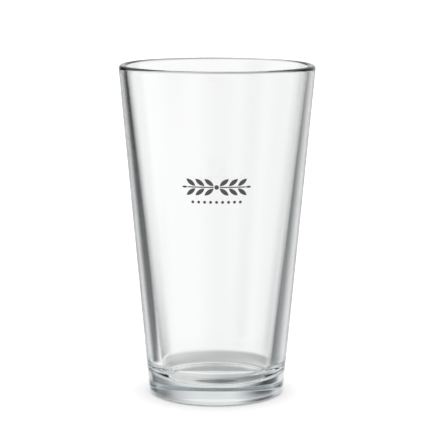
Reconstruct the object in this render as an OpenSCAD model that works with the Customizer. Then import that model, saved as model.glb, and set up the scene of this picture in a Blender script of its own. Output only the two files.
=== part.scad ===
// Conical pint glass: one pressed glass body with a small ornament printed on its front.
// Millimetres, +Z up. The origin is the middle of the foot, on the plane that the glass
// stands on. The ornament faces -Y.

/* [Glass body] */
// Height of the glass
glass_h = 150; // [120:1:190]
// Outside diameter where the straight side meets the rim plane
mouth_d = 88.7; // [80:0.1:110]
// Outside diameter where the straight side meets the table plane
base_d = 61.3; // [50:0.1:74]
// Thickness of the side at the rim plane, measured level
rim_wall = 3.2; // [2.4:0.1:5]
// Thickness of the side at the height of the floor, measured level
foot_wall = 6.8; // [3:0.1:8]
// Thickness of the base at its middle, from the table plane to the inside floor
base_t = 7; // [5:0.1:16]
// Radius of the ball that the dished inside floor is part of
floor_dish_r = 170; // [80:1:400]
// Radius of the rounding between the inside floor and the side
floor_fillet_r = 9; // [2:0.1:12]
// Radius of the rounding between the foot and the side
heel_r = 2.8; // [1:0.1:5]
// Width of the flat ring that the glass stands on
foot_ring_w = 1.2; // [0.8:0.1:6]
// Depth of the hollow under the base at its middle
punt_h = 1.4; // [0.6:0.1:3]

/* [Printed ornament] */
// Height of the stem's middle line above the table
stem_z = 99.9; // [60:0.1:110]
// Length of the stem, along the curve of the glass
stem_len = 25; // [16:0.5:30]
// Width of the stem's line
stem_w = 0.5; // [0.3:0.1:0.8]
// Pairs of leaves on each half of the stem
leaf_pairs = 3; // [1:1:3]
// Distance from one pair of leaves to the next
leaf_pitch = 4; // [3.4:0.1:5]
// Length of a leaf
leaf_len = 5; // [3:0.1:5.4]
// Width of a leaf
leaf_w = 1.9; // [1:0.1:2.2]
// Angle between a leaf and the stem
leaf_angle = 38; // [30:1:50]
// Diameter of the berry at the middle of the stem
berry_d = 2; // [1:0.1:2.2]
// Number of dots in the row under the stem
dot_count = 9; // [3:2:11]
// Distance from one dot to the next
dot_pitch = 2.6; // [2:0.1:3]
// Diameter of a dot
dot_d = 1.3; // [0.8:0.1:1.6]
// Distance from the stem's middle line down to the row of dots
dot_drop = 6.6; // [5.5:0.1:9]
// Thickness of the fired ink
ink_t = 0.05; // [0.04:0.01:0.2]

/* [Hidden] */
$fn = 96;

// Bare gap left between marks that don't touch
ink_gap = 0.3;
// Room past the ink's two faces for the tool that cuts its outline
cutter_t = 4;

// The straight outer side: its radius at a height, its slope and its lean
side_slope = (mouth_d - base_d) / 2 / glass_h;
side_lean = atan(side_slope);
function side_r(z) = base_d / 2 + side_slope * z;

// The straight inner side, through the stated thickness at the rim and at the floor
bore_rim_r = side_r(glass_h) - rim_wall;
bore_floor_r = side_r(base_t) - foot_wall;
bore_slope = (bore_rim_r - bore_floor_r) / (glass_h - base_t);
bore_lean = atan(bore_slope);
function bore_r(z) = bore_floor_r + bore_slope * (z - base_t);

// Each round stands this far past the straight lines that it blends, so that the two cross
// at a clean edge
blend = 0.004;

// The rim is one full round between the two sides, up to the rim plane
lip_span = 1 / cos(side_lean) + 1 / cos(bore_lean);
lip_r = (rim_wall + blend * lip_span) / (lip_span + side_slope - bore_slope);
lip = [side_r(glass_h - lip_r) - (lip_r - blend) / cos(side_lean), glass_h - lip_r];

// Middle of the heel's round, between the table plane and the outer side
heel_z = heel_r - blend;
heel = [side_r(heel_z) - heel_z / cos(side_lean), heel_z];

// Middle of the floor's ball
floor_ball = [0, base_t + floor_dish_r];

// Middle of the fillet's round: on a line along the bore, and inside the floor's ball by the
// fillet's own radius, which makes its height the root of a quadratic
fillet_rise = floor_fillet_r - blend;
fillet_reach = floor_dish_r - fillet_rise;
fillet_start = bore_r(0) - fillet_rise / cos(bore_lean);
quad_a = pow(bore_slope, 2) + 1;
quad_b = fillet_start * bore_slope - floor_ball[1];
quad_c = pow(fillet_start, 2) + pow(floor_ball[1], 2) - pow(fillet_reach, 2);
fillet_z = (-quad_b - sqrt(pow(quad_b, 2) - quad_a * quad_c)) / quad_a;
fillet = [fillet_start + bore_slope * fillet_z, fillet_z];

// Where the floor's ball meets the fillet
floor_lean = asin(fillet[0] / fillet_reach);
floor_edge = floor_ball + floor_dish_r * [sin(floor_lean), -cos(floor_lean)];

// The hollow under the base is a shallow ball cap inside the foot ring
punt_r = heel[0] - foot_ring_w;
punt_ball_r = (pow(punt_r, 2) + pow(punt_h, 2)) / (2 * punt_h);

// The point where a straight line passes a round, at an angle from the level
function beside(mid, r, angle) = mid + (r - blend) * [cos(angle), sin(angle)];

// Angle about the glass's middle that a length along its outside takes at a height
function wrap(length, z) = length / side_r(z) * 180 / PI;

// A full circle whose start is turned to a side where it is buried in the glass
module round_at(mid, r, start) {
    translate(mid)
        rotate(start)
            circle(r = r);
}

// Half section of the glass: straight lines, which the rounds then fill or cut
module wall_section() {
    difference() {
        union() {
            polygon([
                [0, 0],
                [heel[0], 0],
                beside(heel, heel_r, -side_lean),
                beside(lip, lip_r, -side_lean),
                beside(lip, lip_r, 180 - bore_lean),
                beside(fillet, floor_fillet_r, -bore_lean),
                floor_edge,
                [0, floor_edge[1]]
            ]);
            round_at(heel, heel_r, 120);
            round_at(lip, lip_r, -90);
        }
        round_at(fillet, floor_fillet_r, 90);
        intersection() {
            round_at(floor_ball, floor_dish_r, 90);
            square(floor_edge);
        }
        translate([0, -heel_r])
            square([base_d, heel_r]);
    }
}

// Half section of the hollow under the base
module punt_section() {
    intersection() {
        round_at([0, punt_h - punt_ball_r], punt_ball_r, -90);
        translate([0, -punt_h])
            square([2 * punt_r, 3 * punt_h]);
    }
}

module tumbler() {
    color([0.86, 0.9, 0.89, 0.4])
        rotate_extrude()
            difference() {
                wall_section();
                punt_section();
            }
}

// The film of ink between two heights, all the way round the straight side
module ink_film(low, high) {
    film = ink_t / cos(side_lean);
    difference() {
        translate([0, 0, low])
            cylinder(h = high - low, r1 = side_r(low) + film, r2 = side_r(high) + film);
        translate([0, 0, low - 1])
            cylinder(h = high - low + 2, r1 = side_r(low - 1), r2 = side_r(high + 1));
    }
}

// One mark: a flat outline laid on the side at a height, and a length along the curve from
// the front. The outline's own origin is the mark's place.
module ink_mark(along, z, reach) {
    rotate([0, 0, wrap(along, z)])
        intersection() {
            ink_film(z - reach, z + reach);
            translate([0, -side_r(z) + cutter_t, z])
                rotate([90, 0, 0])
                    linear_extrude(height = 2 * cutter_t)
                        children();
        }
}

// A pointed leaf along +X from the origin: the overlap of two equal rounds
module leaf_outline() {
    round_r = (pow(leaf_len, 2) + pow(leaf_w, 2)) / (4 * leaf_w);
    intersection() {
        translate([leaf_len / 2, round_r - leaf_w / 2])
            circle(r = round_r);
        translate([leaf_len / 2, leaf_w / 2 - round_r])
            circle(r = round_r);
    }
}

// The stem is a band of ink that leaves room for the berry in its middle
module print_stem() {
    low = stem_z - stem_w / 2;
    high = stem_z + stem_w / 2;
    film = ink_t / cos(side_lean);
    start = berry_d / 2 + ink_gap;
    sweep = wrap(stem_len / 2 - start, stem_z);
    color("#3c3c3e")
        for (side = [-1, 1])
            rotate([0, 0, -90 + side * (wrap(start, stem_z) + sweep / 2) - sweep / 2])
                rotate_extrude(angle = sweep)
                    polygon([
                        [side_r(low), low],
                        [side_r(low) + film, low],
                        [side_r(high) + film, high],
                        [side_r(high), high]
                    ]);
}

// Pairs of leaves that point away from the berry, and one leaf past each end of the stem
module print_leaves() {
    root = stem_w / 2 + ink_gap;
    first = berry_d / 2 + ink_gap;
    color("#3c3c3e")
        for (side = [-1, 1]) {
            for (pair = [0 : leaf_pairs - 1], up = [-1, 1])
                ink_mark(side * (first + pair * leaf_pitch), stem_z, leaf_len)
                    translate([0, up * root])
                        mirror([side < 0 ? 1 : 0, 0])
                            rotate(up * leaf_angle)
                                leaf_outline();
            ink_mark(side * (stem_len / 2 + ink_gap), stem_z, leaf_w)
                mirror([side < 0 ? 1 : 0, 0])
                    scale(1 / 2)
                        leaf_outline();
        }
}

module print_berry() {
    color("#3c3c3e")
        ink_mark(0, stem_z, berry_d)
            circle(d = berry_d);
}

module print_dots() {
    color("#3c3c3e")
        for (i = [0 : dot_count - 1])
            ink_mark((i - (dot_count - 1) / 2) * dot_pitch, stem_z - dot_drop, dot_d)
                circle(d = dot_d);
}

tumbler();
print_stem();
print_leaves();
print_berry();
print_dots();
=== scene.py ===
"""The looks of a conical pint glass: one glass body with a small printed ornament.

The file is laid out as an add-on and run as a script. Lengths are in metres, +Z is up, the
glass stands on Z = 0 and the ornament faces -Y. Every surface is worked out with numpy
from the settings below.
"""
import math

import bpy
import numpy as np
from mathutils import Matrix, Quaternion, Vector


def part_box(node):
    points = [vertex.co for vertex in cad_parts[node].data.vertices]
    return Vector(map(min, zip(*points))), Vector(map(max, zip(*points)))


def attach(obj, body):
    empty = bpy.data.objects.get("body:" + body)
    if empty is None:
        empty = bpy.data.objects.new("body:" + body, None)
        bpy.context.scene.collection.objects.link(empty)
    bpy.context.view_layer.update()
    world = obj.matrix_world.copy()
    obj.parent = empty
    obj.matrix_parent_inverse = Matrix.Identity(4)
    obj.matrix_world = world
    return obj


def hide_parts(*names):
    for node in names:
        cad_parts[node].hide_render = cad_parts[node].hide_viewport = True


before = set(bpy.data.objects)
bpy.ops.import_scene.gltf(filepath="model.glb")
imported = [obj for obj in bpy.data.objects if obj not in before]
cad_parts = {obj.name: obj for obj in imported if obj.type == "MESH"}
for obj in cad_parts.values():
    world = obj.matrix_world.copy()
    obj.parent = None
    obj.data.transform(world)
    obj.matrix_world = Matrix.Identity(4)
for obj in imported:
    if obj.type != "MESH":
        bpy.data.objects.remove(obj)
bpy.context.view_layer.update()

bl_info = {
    "name": "Pint Glass",
    "version": (1, 0, 0),
    "blender": (4, 5, 0),
    "location": "View3D > Sidebar > Pint Glass",
    "description": "Builds a conical pint glass with a printed ornament and its studio",
    "category": "Add Mesh",
}

MM = 0.001
TURNS = 360  # steps round the glass


# ---------------------------------------------------------------------------
# Settings
# ---------------------------------------------------------------------------

def length(name, description, millimetres):
    """A length property whose default is given in millimetres."""
    return bpy.props.FloatProperty(
        name=name, description=description, default=millimetres * MM, min=0.0,
        unit="LENGTH", precision=5)


def angle(name, description, degrees):
    """An angle property whose default is given in degrees."""
    return bpy.props.FloatProperty(
        name=name, description=description, default=math.radians(degrees), unit="ROTATION")


def colour(name, description, value):
    """A colour property."""
    return bpy.props.FloatVectorProperty(
        name=name, description=description, default=value, min=0.0, max=1.0,
        subtype="COLOR", size=3)


def level(name, description, value):
    """A plain number."""
    return bpy.props.FloatProperty(
        name=name, description=description, default=value, unit="NONE")


def count(name, description, value):
    """A whole number."""
    return bpy.props.IntProperty(name=name, description=description, default=value, min=1)


class GlassSettings(bpy.types.PropertyGroup):
    """Sizes and colour of the glass body"""
    height: length("Height", "Height of the glass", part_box("tumbler")[1].z / MM)
    mouth: length("Mouth", "Outside diameter where the side meets the rim plane", 88.7)
    base: length("Base", "Outside diameter where the side meets the table plane", 61.3)
    rim_wall: length("Rim wall", "Thickness of the side at the rim plane", 3.2)
    foot_wall: length("Foot wall", "Thickness of the side at the floor's height", 6.8)
    base_thickness: length("Base thickness", "From the table up to the floor's middle", 7.0)
    dish: length("Floor dish", "Radius of the ball that the inside floor is part of", 170.0)
    fillet: length("Floor fillet", "Radius between the inside floor and the side", 9.0)
    heel: length("Heel", "Radius between the foot and the side", 2.8)
    foot_ring: length("Foot ring", "Width of the flat ring that the glass stands on", 1.2)
    punt_depth: length("Punt depth", "Depth of the hollow under the base", 1.4)
    ripple: length("Ripple", "Height of the faint waves left in the inside by the mould", 0.003)
    tint: colour("Tint", "Colour that thick glass takes", (0.78, 0.83, 0.84))
    tint_density: level("Tint density", "How fast the tint grows with thickness", 10.0)
    ior: level("IOR", "Refractive index of the glass", 1.52)


class InkSettings(bpy.types.PropertyGroup):
    """Sizes and colour of the printed ornament"""
    height: length("Stem height", "Height of the stem's middle line above the table", 99.9)
    stem: length("Stem length", "Length of the stem along the curve of the glass", 25.0)
    stem_width: length("Stem width", "Width of the stem's line", 0.5)
    pairs: count("Leaf pairs", "Pairs of leaves on each half of the stem", 3)
    pitch: length("Leaf pitch", "Distance from one pair of leaves to the next", 4.0)
    leaf: length("Leaf length", "Length of a leaf", 5.0)
    leaf_width: length("Leaf width", "Width of a leaf", 1.9)
    leaf_angle: angle("Leaf angle", "Angle between a leaf and the stem", 38.0)
    berry: length("Berry", "Diameter of the berry at the middle of the stem", 2.0)
    dots: count("Dots", "Number of dots in the row under the stem", 9)
    dot_pitch: length("Dot pitch", "Distance from one dot to the next", 2.6)
    dot: length("Dot", "Diameter of a dot", 1.3)
    drop: length("Dot drop", "From the stem's middle line down to the row of dots", 6.6)
    gap: length("Gap", "Bare gap between marks that don't touch", 0.3)
    film: length("Film", "Thickness of the fired ink", 0.05)
    sink: length("Sink", "How far the ink has fired into the glass", 0.02)
    colour: colour("Ink", "Colour of the ink", (0.036, 0.036, 0.039))


class StudioSettings(bpy.types.PropertyGroup):
    """The camera, and the brightness of what stands round the glass"""
    distance: length("Distance", "Camera's distance in front of the glass", 820.7)
    height: length("Camera height", "Camera's height above the table", 212.1)
    aside: length("Aside", "Camera's distance to the right of the glass's middle", 1.5)
    tilt: angle("Tilt", "How far the camera looks down", 9.194)
    roll: angle("Roll", "How far the camera leans to its left", 0.185)
    lens: level("Lens", "Camera's focal length in millimetres", 149.73)
    floor_size: length("Floor size", "Width of the floor", 6000.0)
    backdrop: level("Backdrop", "Brightness of the white all round", 0.97)
    backdrop_left: level("Backdrop left", "Brightness of the white on the left", 1.0185)
    upper: level("Upper", "Share of the white that is left above eye level", 0.85)
    ceiling: level("Ceiling", "Share of the upper white that is left straight up", 0.45)
    # The table that the glass sees is painted in shade, lighter on the left than on the right
    table_left: level("Table left", "Brightness of the left of the table", 0.68)
    table_right: level("Table right", "Brightness of the right of the table", 0.45)
    table_far: level("Table far right", "Share of it that is left far to the right", 0.5)
    # Under: the painted shadow of the glass on the table, which the glass sees straight down
    under: level("Under", "Share of the table's brightness straight down", 0.4)
    surround: level("Surround", "Brightness of the plain light on the floor", 1.8)
    shade: colour("Shade", "Colour of the darkest light that glass sees", (0.85, 0.95, 1.0))


# ---------------------------------------------------------------------------
# Meshes
# ---------------------------------------------------------------------------

def new_piece(name, points, faces, material, node):
    """A smooth mesh object that rides on the body and stands in for a CAD node."""
    mesh = bpy.data.meshes.new(name)
    mesh.from_pydata(points.tolist(), [], faces)
    mesh.validate()
    mesh.shade_smooth()
    mesh.materials.append(material)
    piece = bpy.data.objects.new(name, mesh)
    bpy.context.scene.collection.objects.link(piece)
    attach(piece, "root")
    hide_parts(node)
    return piece


def skin(grid, first, last):
    """Points and faces of a closed skin over rings of points.

    Ring i is grid[i], and its points run anticlockwise about the way from the point first
    to the point last. A fan closes each end.
    """
    rings, turns = grid.shape[:2]
    points = np.concatenate([grid.reshape(-1, 3), [first, last]])
    ring, step = np.meshgrid(np.arange(rings - 1), np.arange(turns), indexing="ij")
    after = (step + 1) % turns
    quads = np.stack([
        ring * turns + step, ring * turns + after,
        (ring + 1) * turns + after, (ring + 1) * turns + step], axis=2).reshape(-1, 4)
    step = np.arange(turns)
    after = (step + 1) % turns
    top = (rings - 1) * turns
    start = np.stack([np.full(turns, rings * turns), after, step], axis=1)
    end = np.stack([np.full(turns, rings * turns + 1), top + step, top + after], axis=1)
    return points, [*quads.tolist(), *start.tolist(), *end.tolist()]


def arc(middle, radius, start, end, steps):
    """Points on a circle: middle + radius * (cos t, sin t), t from start to end."""
    t = np.linspace(start, end, steps)
    return np.stack([middle[0] + radius * np.cos(t), middle[1] + radius * np.sin(t)], axis=1)


def line(first, last, steps):
    """Points evenly spaced on a straight line, without its two ends."""
    t = np.linspace(0.0, 1.0, steps + 2)[1:-1, None]
    return np.array(first) * (1 - t) + np.array(last) * t


def side_slope(s):
    """How fast the outer radius grows with height."""
    return (s.mouth - s.base) / 2 / s.height


def side_radius(s, z):
    """Outer radius at a height: a straight line from the base to the mouth."""
    return s.base / 2 + side_slope(s) * z


def wall_profile(s):
    """Half section of the glass as (radius, height) points, and which are on the bore.

    It runs from the middle of the hollow under the base, out along the foot ring, round the
    heel, up the side, over the full round of the rim, down the bore, round the fillet and
    along the dished floor to its middle. The hollow and the floor are arcs of large balls,
    straight stretches are lines, and every round is an arc tangent to its neighbours.
    """
    out_slope = side_slope(s)
    out_lean = math.atan(out_slope)
    rim_r = side_radius(s, s.height) - s.rim_wall
    floor_r = side_radius(s, s.base_thickness) - s.foot_wall
    in_slope = (rim_r - floor_r) / (s.height - s.base_thickness)
    in_lean = math.atan(in_slope)

    span = 1 / math.cos(out_lean) + 1 / math.cos(in_lean)
    lip_r = s.rim_wall / (span + out_slope - in_slope)
    lip_z = s.height - lip_r
    lip = (side_radius(s, lip_z) - lip_r / math.cos(out_lean), lip_z)
    heel = (side_radius(s, s.heel) - s.heel / math.cos(out_lean), s.heel)

    # The fillet's middle lies on a line along the bore, and inside the floor's ball by its
    # own radius: a quadratic in its height
    start = floor_r - in_slope * s.base_thickness - s.fillet / math.cos(in_lean)
    ball_z = s.base_thickness + s.dish
    reach = s.dish - s.fillet
    a, b = in_slope ** 2 + 1, start * in_slope - ball_z
    fillet_z = (-b - math.sqrt(b * b - a * (start ** 2 + ball_z ** 2 - reach ** 2))) / a
    fillet = (start + in_slope * fillet_z, fillet_z)
    dish_half = math.asin(fillet[0] / reach)

    punt = heel[0] - s.foot_ring
    punt_ball = (punt ** 2 + s.punt_depth ** 2) / (2 * s.punt_depth)
    punt_half = math.asin(punt / punt_ball)
    down, up = -math.pi / 2, math.pi / 2

    hollow = arc((0, s.punt_depth - punt_ball), punt_ball, up, up - punt_half, 30)
    foot = line(hollow[-1], (heel[0], 0), 3)
    heel_arc = arc(heel, s.heel, down, -out_lean, 24)
    lip_arc = arc(lip, lip_r, -out_lean, math.pi - in_lean, 40)
    side_line = line(heel_arc[-1], lip_arc[0], 70)
    fillet_arc = arc(fillet, s.fillet, -in_lean, down + dish_half, 30)
    bore_line = line(lip_arc[-1], fillet_arc[0], 90)
    floor = arc((0, ball_z), s.dish, down + dish_half, down, 24)[1:]
    before = [hollow, foot, heel_arc, side_line, lip_arc]
    profile = np.concatenate([*before, bore_line, fillet_arc, floor])
    profile[[0, -1], 0] = 0
    first = sum(len(part) for part in before)
    bore = slice(first, first + len(bore_line))
    return profile, bore


def glass_skin(s, turns):
    """The half section turned about Z: (r cos a, r sin a, z) for each angle a.

    The bore's radius also takes a few faint waves that fade out at both of its ends.
    """
    profile, bore = wall_profile(s)
    a = np.linspace(0, 2 * math.pi, turns, endpoint=False)[None, :]
    r = np.repeat(profile[:, :1], turns, axis=1)
    z = np.repeat(profile[:, 1:], turns, axis=1)
    t = np.linspace(0, 1, bore.stop - bore.start)[:, None]
    waves = (np.sin(2 * math.pi * (5.3 * t + 0.35 * np.sin(a)))
             + 0.8 * np.sin(2 * math.pi * 2.1 * t + 3 * a)
             + 0.5 * np.sin(2 * math.pi * 9.7 * t - 2 * a))
    r[bore] += s.ripple * np.sin(math.pi * t) ** 2 * waves
    grid = np.stack([r * np.cos(a), r * np.sin(a), z], axis=2)
    return skin(grid[1:-1], grid[0, 0], grid[-1, 0])


def disc_outline(size):
    """A circle about the origin, anticlockwise."""
    return arc((0, 0), size / 2, 0, 2 * math.pi, 49)[:-1]


def leaf_outline(long, wide):
    """A pointed leaf along +X from the origin: two equal arcs that meet at its ends."""
    r = (long ** 2 + wide ** 2) / (4 * wide)
    half = math.asin(long / 2 / r)
    down, up = -math.pi / 2, math.pi / 2
    under = arc((long / 2, r - wide / 2), r, down - half, down + half, 25)
    over = arc((long / 2, wide / 2 - r), r, up - half, up + half, 25)
    return np.concatenate([under[:-1], over[:-1]])


def bar_outline(first, last, wide):
    """A straight bar from one X to another, anticlockwise."""
    under = np.stack([np.linspace(first, last, 41), np.full(41, -wide / 2)], axis=1)
    return np.concatenate([under, under[::-1] * [1, -1]])


def turned(outline, angle):
    """The outline turned anticlockwise about the origin."""
    c, s = math.cos(angle), math.sin(angle)
    return outline @ np.array([[c, s], [-s, c]])


def mirrored(outline):
    """The outline mirrored left to right, still anticlockwise."""
    return outline[::-1] * [-1, 1]


def laid_on_side(s, flat, out, along, height):
    """Flat (x, y) points laid on the side, a little way out from it.

    The flat sheet touches the side at a height, and at a length along the curve from the
    front. Each point goes level on to the cone: (x, -sqrt(R(z)^2 - x^2), z), and then turns
    about Z to its place.
    """
    z = height + flat[:, 1]
    r = side_radius(s, z) + out
    x, y = flat[:, 0], -np.sqrt(r ** 2 - flat[:, 0] ** 2)
    turn = along / side_radius(s, height)
    c, k = math.cos(turn), math.sin(turn)
    return np.stack([x * c - y * k, x * k + y * c, z], axis=1)


# The rings of a mark of ink: the share of the outline's size at each ring, first for the
# flat sunk face and then, with the share of the film's thickness, for the rounded outer one
SUNK_RINGS = (0.4, 0.8, 1.0)
OUTER_RINGS = ((1.0, 0.5), (0.97, 0.85), (0.9, 1.0), (0.7, 1.0), (0.35, 1.0))


def mark(s, ink, outline, along=0.0, height=None):
    """One mark of ink: a thin pad with a rounded edge that follows the side.

    Its rings are the outline shrunk towards its middle, at depths from the sunk face to the
    outer face.
    """
    height = ink.height if height is None else height
    middle = outline.mean(axis=0)
    rings = [(size, -ink.sink) for size in SUNK_RINGS]
    rings += [(size, share * ink.film) for size, share in OUTER_RINGS]
    grid = np.stack([
        laid_on_side(s, middle + (outline - middle) * size, out, along, height)
        for size, out in rings])
    ends = [laid_on_side(s, middle[None], out, along, height)[0]
            for out in (-ink.sink, ink.film)]
    return skin(grid, *ends)


def joined(marks):
    """Several meshes as one."""
    points, faces, start = [], [], 0
    for more_points, more_faces in marks:
        points.append(more_points)
        faces += [[start + i for i in face] for face in more_faces]
        start += len(more_points)
    return np.concatenate(points), faces


# ---------------------------------------------------------------------------
# Shader nodes
# ---------------------------------------------------------------------------

def add_node(tree, kind, inputs, **settings):
    """A node with its settings, and inputs that are sockets or plain values."""
    node = tree.nodes.new(kind)
    for name, value in settings.items():
        setattr(node, name, value)
    for socket, value in zip(node.inputs, inputs):
        if isinstance(value, bpy.types.NodeSocket):
            tree.links.new(value, socket)
        elif value is not None:
            socket.default_value = value
    return node


def math_node(tree, operation, *values):
    """The result of a Math node."""
    return add_node(tree, "ShaderNodeMath", values, operation=operation).outputs[0]


def ramp(tree, value, low, high, out_low, out_high, smooth=False):
    """A value carried from one range to another and held at both ends."""
    kind = "SMOOTHSTEP" if smooth else "LINEAR"
    node = add_node(tree, "ShaderNodeMapRange", (value, low, high, out_low, out_high),
                    interpolation_type=kind)
    return node.outputs[0]


def shader(material):
    """The material's Principled shader."""
    material.use_nodes = True
    return material.node_tree.nodes["Principled BSDF"]


def noise(tree, coordinate, scale, detail):
    """The grey value of a noise texture on a coordinate."""
    node = add_node(tree, "ShaderNodeTexNoise", (coordinate,))
    node.inputs["Scale"].default_value = scale
    node.inputs["Detail"].default_value = detail
    return node.outputs["Fac"]


def object_coordinate(tree):
    """The object's own coordinate."""
    return tree.nodes.new("ShaderNodeTexCoord").outputs["Object"]


# ---------------------------------------------------------------------------
# Materials
# ---------------------------------------------------------------------------

def clear_glass(s):
    """Clear soda-lime glass, with a little colour where it is thick."""
    material = bpy.data.materials.new("clear_glass")
    bsdf = shader(material)
    bsdf.inputs["Base Color"].default_value = (1, 1, 1, 1)
    bsdf.inputs["Roughness"].default_value = 0.0
    bsdf.inputs["IOR"].default_value = s.ior
    bsdf.inputs["Transmission Weight"].default_value = 1.0
    tree = material.node_tree
    absorb = tree.nodes.new("ShaderNodeVolumeAbsorption")
    absorb.inputs["Color"].default_value = (*s.tint, 1)
    absorb.inputs["Density"].default_value = s.tint_density
    tree.links.new(absorb.outputs[0], tree.nodes["Material Output"].inputs["Volume"])
    return material


# Patches and grains to the metre in the ink, and how far its colour and roughness range
INK_PATCHES, INK_GRAINS = 900.0, 6000.0
INK_SHADES = (0.8, 1.2)
INK_ROUGHNESS = (0.4, 0.55)


def fired_ink(ink):
    """Dark grey fired ink, a little uneven in colour and sheen."""
    material = bpy.data.materials.get("fired_ink")
    if material:
        return material
    material = bpy.data.materials.new("fired_ink")
    bsdf = shader(material)
    tree = material.node_tree
    place = object_coordinate(tree)
    uneven = noise(tree, place, INK_PATCHES, 3.0)
    grain = noise(tree, place, INK_GRAINS, 2.0)
    mix = tree.nodes.new("ShaderNodeMix")
    mix.data_type = "RGBA"
    tree.links.new(uneven, mix.inputs["Factor"])
    for name, shade in zip("AB", INK_SHADES):
        mix.inputs[name].default_value = (*(shade * value for value in ink.colour), 1)
    tree.links.new(mix.outputs["Result"], bsdf.inputs["Base Color"])
    tree.links.new(ramp(tree, grain, 0.3, 0.7, *INK_ROUGHNESS), bsdf.inputs["Roughness"])
    return material


# ---------------------------------------------------------------------------
# Operators
# ---------------------------------------------------------------------------

class GLASS_OT_tumbler(bpy.types.Operator):
    """Builds the glass body: one surface turned about the glass's axis"""
    bl_idname = "pint_glass.tumbler"
    bl_label = "Glass body"

    def execute(self, context):
        s = context.scene.pint_glass
        points, faces = glass_skin(s, TURNS)
        new_piece("glass_body", points, faces, clear_glass(s), "tumbler")
        return {"FINISHED"}


def ink_piece(context, name, node, marks):
    """One piece of ink made of several marks."""
    points, faces = joined(marks)
    new_piece(name, points, faces, fired_ink(context.scene.pint_ink), node)


class GLASS_OT_stem(bpy.types.Operator):
    """Builds the two halves of the ornament's stem"""
    bl_idname = "pint_glass.stem"
    bl_label = "Stem"

    def execute(self, context):
        s, ink = context.scene.pint_glass, context.scene.pint_ink
        bar = bar_outline(ink.berry / 2 + ink.gap, ink.stem / 2, ink.stem_width)
        marks = [mark(s, ink, outline) for outline in (bar, mirrored(bar))]
        ink_piece(context, "ink_stem", "print_stem", marks)
        return {"FINISHED"}


class GLASS_OT_leaves(bpy.types.Operator):
    """Builds the ornament's leaves: pairs along the stem and one past each end"""
    bl_idname = "pint_glass.leaves"
    bl_label = "Leaves"

    def execute(self, context):
        s, ink = context.scene.pint_glass, context.scene.pint_ink
        leaf = leaf_outline(ink.leaf, ink.leaf_width)
        root = ink.stem_width / 2 + ink.gap
        first = ink.berry / 2 + ink.gap
        marks = []
        for side in (-1, 1):
            for pair in range(ink.pairs):
                for up in (-1, 1):
                    outline = turned(leaf, up * ink.leaf_angle) + [0, up * root]
                    outline = outline if side > 0 else mirrored(outline)
                    marks.append(mark(s, ink, outline, side * (first + pair * ink.pitch)))
            tip = leaf / 2 if side > 0 else mirrored(leaf / 2)
            marks.append(mark(s, ink, tip, side * (ink.stem / 2 + ink.gap)))
        ink_piece(context, "ink_leaves", "print_leaves", marks)
        return {"FINISHED"}


class GLASS_OT_berry(bpy.types.Operator):
    """Builds the berry at the middle of the stem"""
    bl_idname = "pint_glass.berry"
    bl_label = "Berry"

    def execute(self, context):
        s, ink = context.scene.pint_glass, context.scene.pint_ink
        ink_piece(context, "ink_berry", "print_berry", [mark(s, ink, disc_outline(ink.berry))])
        return {"FINISHED"}


class GLASS_OT_dots(bpy.types.Operator):
    """Builds the row of dots under the stem"""
    bl_idname = "pint_glass.dots"
    bl_label = "Dots"

    def execute(self, context):
        s, ink = context.scene.pint_glass, context.scene.pint_ink
        dot = disc_outline(ink.dot)
        places = (np.arange(ink.dots) - (ink.dots - 1) / 2) * ink.dot_pitch
        marks = [mark(s, ink, dot, place, ink.height - ink.drop) for place in places]
        ink_piece(context, "ink_dots", "print_dots", marks)
        return {"FINISHED"}


# How often light may bounce: enough for the thick base
BOUNCES = 24

# The dark cards that the glass can see against the white all round. Each has the turns,
# from +Y towards -X, where it starts, is full, begins to end and ends; how far it leans
# with height; the elevations where it starts, is full, begins to end and ends; and the
# share of the light that it leaves. All angles are in degrees.
DARK_CARDS = (
    ("left", (9, 34, 43, 60), 0.2, (-22.5, -19.5, 8, 34), 0.02),
    ("right", (-66, -56, -50, -8), 0.0, (-30, -20, 22, 38), 0.18),
    ("high right", (-116, -96, -66, -50), 0.0, (4, 12, 26, 36), 0.4),
    ("ceiling gap", (4, 18, 36, 50), 0.0, (36, 44, 54, 62), 0.40),
    ("side", (104, 126, 132, 154), 0.0, (-18, -12, 6, 14), 0.15),
    ("low left", (64, 80, 90, 108), 0.0, (-38, -33, -22, -18), 0.15),
    ("low right", (-50, -36, -30, -18), 0.0, (-38, -33, -24, -20), 0.4),
    ("back left", (-128, -98, -92, -62), 0.0, (-30, -22, -12, 0), 0.5),
    ("back right", (152, 180, 188, 218), 0.0, (-30, -22, -12, 0), 0.5),
)


# Where the light steps from one share to the next: sideways directions for the backdrop and
# the table, and elevations for eye level, the ceiling, the table's edge and straight down
BACKDROP_STEP = (-0.22, 0.05)
TABLE_STEP = (-0.15, 0.1)
TABLE_FAR = (0.1, 0.8)
EYE_LEVEL = (math.radians(-2), math.radians(4))
CEILING = (math.radians(50), math.radians(64))
TABLE_EDGE = (math.radians(-30), math.radians(-22))
# Straight down, the table darkens as the painted shadow of the glass on it
STRAIGHT_DOWN = (math.radians(-72), math.radians(-60))


def between(tree, value, first, full, fade, last):
    """One between full and fade, nothing past first and last, and smooth in between."""
    corners = [math.radians(corner) for corner in (first, full, fade, last)]
    rise = ramp(tree, value, *corners[:2], 0.0, 1.0, smooth=True)
    fall = ramp(tree, value, *corners[2:], 1.0, 0.0, smooth=True)
    return math_node(tree, "MULTIPLY", rise, fall)


def dimmed(tree, light, value, low, high, first, last):
    """The light times a share that changes smoothly from first to last."""
    share = ramp(tree, value, low, high, first, last, smooth=True)
    return math_node(tree, "MULTIPLY", light, share)


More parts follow.
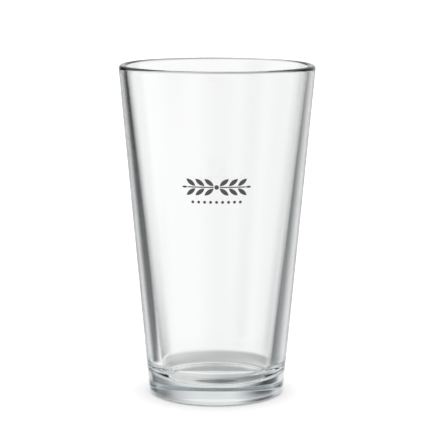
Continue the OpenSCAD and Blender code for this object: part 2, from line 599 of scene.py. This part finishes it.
def studio_world(s):
    """White all round for the camera and the floor, and dark cards that only glass sees.

    Under the cards, the glass sees a table in painted shade, grey against the white floor. Its
    light is a share that fades from left to right, and it darkens again straight down as the
    painted shadow of the glass on the table. The white dims above eye level and again towards
    the ceiling. X here is the sideways part of the direction, from -1 on the left to 1 on the
    right.
    """
    world = bpy.data.worlds.new("studio")
    bpy.context.scene.world = world
    world.use_nodes = True
    tree = world.node_tree
    back = tree.nodes["Background"]
    direction = tree.nodes.new("ShaderNodeTexCoord").outputs["Generated"]
    x, y, z = add_node(tree, "ShaderNodeSeparateXYZ", (direction,)).outputs
    turn = math_node(tree, "ARCTAN2", math_node(tree, "MULTIPLY", x, -1.0), y)
    rise = math_node(tree, "ARCSINE", z)

    light = ramp(tree, x, *BACKDROP_STEP, s.backdrop_left, s.backdrop, smooth=True)
    for _, turns, lean, rises, left in DARK_CARDS:
        start = math.radians(turns[0] - 20)
        around = math_node(tree, "WRAP", turn, start + 2 * math.pi, start)
        around = math_node(tree, "MULTIPLY_ADD", rise, lean, around)
        card = math_node(tree, "MULTIPLY", between(tree, around, *turns),
                         between(tree, rise, *rises))
        light = math_node(tree, "MULTIPLY", light, ramp(tree, card, 0.0, 1.0, 1.0, left))
    light = dimmed(tree, light, rise, *EYE_LEVEL, 1.0, s.upper)
    light = dimmed(tree, light, rise, *CEILING, 1.0, s.ceiling)

    # The table that the glass sees, in painted shade: grey, lighter on the left than on the
    # right
    table = ramp(tree, x, *TABLE_STEP, s.table_left, s.table_right, smooth=True)
    table = dimmed(tree, table, x, *TABLE_FAR, 1.0, s.table_far)
    # Painted shadow of the glass on the table, straight down under it
    table = dimmed(tree, table, rise, *STRAIGHT_DOWN, s.under, 1.0)
    light = ramp(tree, rise, *TABLE_EDGE, table, light, smooth=True)

    path = tree.nodes.new("ShaderNodeLightPath").outputs
    plain = math_node(tree, "MAXIMUM", path["Is Camera Ray"], path["Is Diffuse Ray"])
    shade = [math_node(tree, "MAXIMUM", ramp(tree, light, 0.0, 0.5, dark, 1.0), plain)
             for dark in s.shade]
    colour = add_node(tree, "ShaderNodeCombineXYZ", shade).outputs[0]
    tree.links.new(colour, back.inputs["Color"])
    light = ramp(tree, plain, 0.0, 1.0, light, s.surround)
    tree.links.new(light, back.inputs["Strength"])


class GLASS_OT_stage(bpy.types.Operator):
    """Builds the floor, the light and the camera"""
    bl_idname = "pint_glass.stage"
    bl_label = "Studio"

    def execute(self, context):
        s = context.scene.pint_studio
        half = s.floor_size / 2
        mesh = bpy.data.meshes.new("floor")
        corners = [(-half, -half, 0), (half, -half, 0), (half, half, 0), (-half, half, 0)]
        mesh.from_pydata(corners, [], [(0, 1, 2, 3)])
        floor = bpy.data.objects.new("floor", mesh)
        context.scene.collection.objects.link(floor)
        paper = bpy.data.materials.new("floor_paper")
        bsdf = shader(paper)
        bsdf.inputs["Base Color"].default_value = (0.9, 0.9, 0.9, 1)
        bsdf.inputs["Roughness"].default_value = 0.9
        mesh.materials.append(paper)
        floor.visible_transmission = False
        floor.visible_glossy = False
        studio_world(s)

        data = bpy.data.cameras.new("camera")
        data.lens = s.lens
        data.sensor_width = 36.0
        camera = bpy.data.objects.new("camera", data)
        context.scene.collection.objects.link(camera)
        camera.location = (s.aside, -s.distance, s.height)
        camera.rotation_mode = "QUATERNION"
        pitch = Quaternion((1, 0, 0), math.pi / 2 - s.tilt)
        roll = Quaternion((0, 0, 1), s.roll)
        camera.rotation_quaternion = pitch @ roll
        context.scene.camera = camera
        context.scene.view_settings.view_transform = "Standard"
        paths = context.scene.cycles
        paths.max_bounces = paths.transmission_bounces = paths.glossy_bounces = BOUNCES
        return {"FINISHED"}


OPERATORS = (GLASS_OT_tumbler, GLASS_OT_stem, GLASS_OT_leaves, GLASS_OT_berry,
             GLASS_OT_dots, GLASS_OT_stage)


class GLASS_PT_panel(bpy.types.Panel):
    """The sidebar panel: one button for each step, and the settings under them"""
    bl_idname = "GLASS_PT_panel"
    bl_label = "Pint Glass"
    bl_space_type = "VIEW_3D"
    bl_region_type = "UI"
    bl_category = "Pint Glass"

    def draw(self, context):
        layout = self.layout
        for operator in OPERATORS:
            layout.operator(operator.bl_idname)
        scene = context.scene
        for group in (scene.pint_glass, scene.pint_ink, scene.pint_studio):
            box = layout.box()
            for name in group.__annotations__:
                box.prop(group, name)


CLASSES = (GlassSettings, InkSettings, StudioSettings, *OPERATORS, GLASS_PT_panel)


def register():
    """Registers the classes and their settings."""
    for cls in CLASSES:
        bpy.utils.register_class(cls)
    bpy.types.Scene.pint_glass = bpy.props.PointerProperty(type=GlassSettings)
    bpy.types.Scene.pint_ink = bpy.props.PointerProperty(type=InkSettings)
    bpy.types.Scene.pint_studio = bpy.props.PointerProperty(type=StudioSettings)


def unregister():
    """Removes the settings and the classes."""
    del bpy.types.Scene.pint_studio
    del bpy.types.Scene.pint_ink
    del bpy.types.Scene.pint_glass
    for cls in reversed(CLASSES):
        bpy.utils.unregister_class(cls)


def main():
    """Registers the add-on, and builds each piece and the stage."""
    register()
    bpy.ops.pint_glass.tumbler()
    bpy.ops.pint_glass.stem()
    bpy.ops.pint_glass.leaves()
    bpy.ops.pint_glass.berry()
    bpy.ops.pint_glass.dots()
    bpy.ops.pint_glass.stage()


if __name__ == "__main__":
    main()
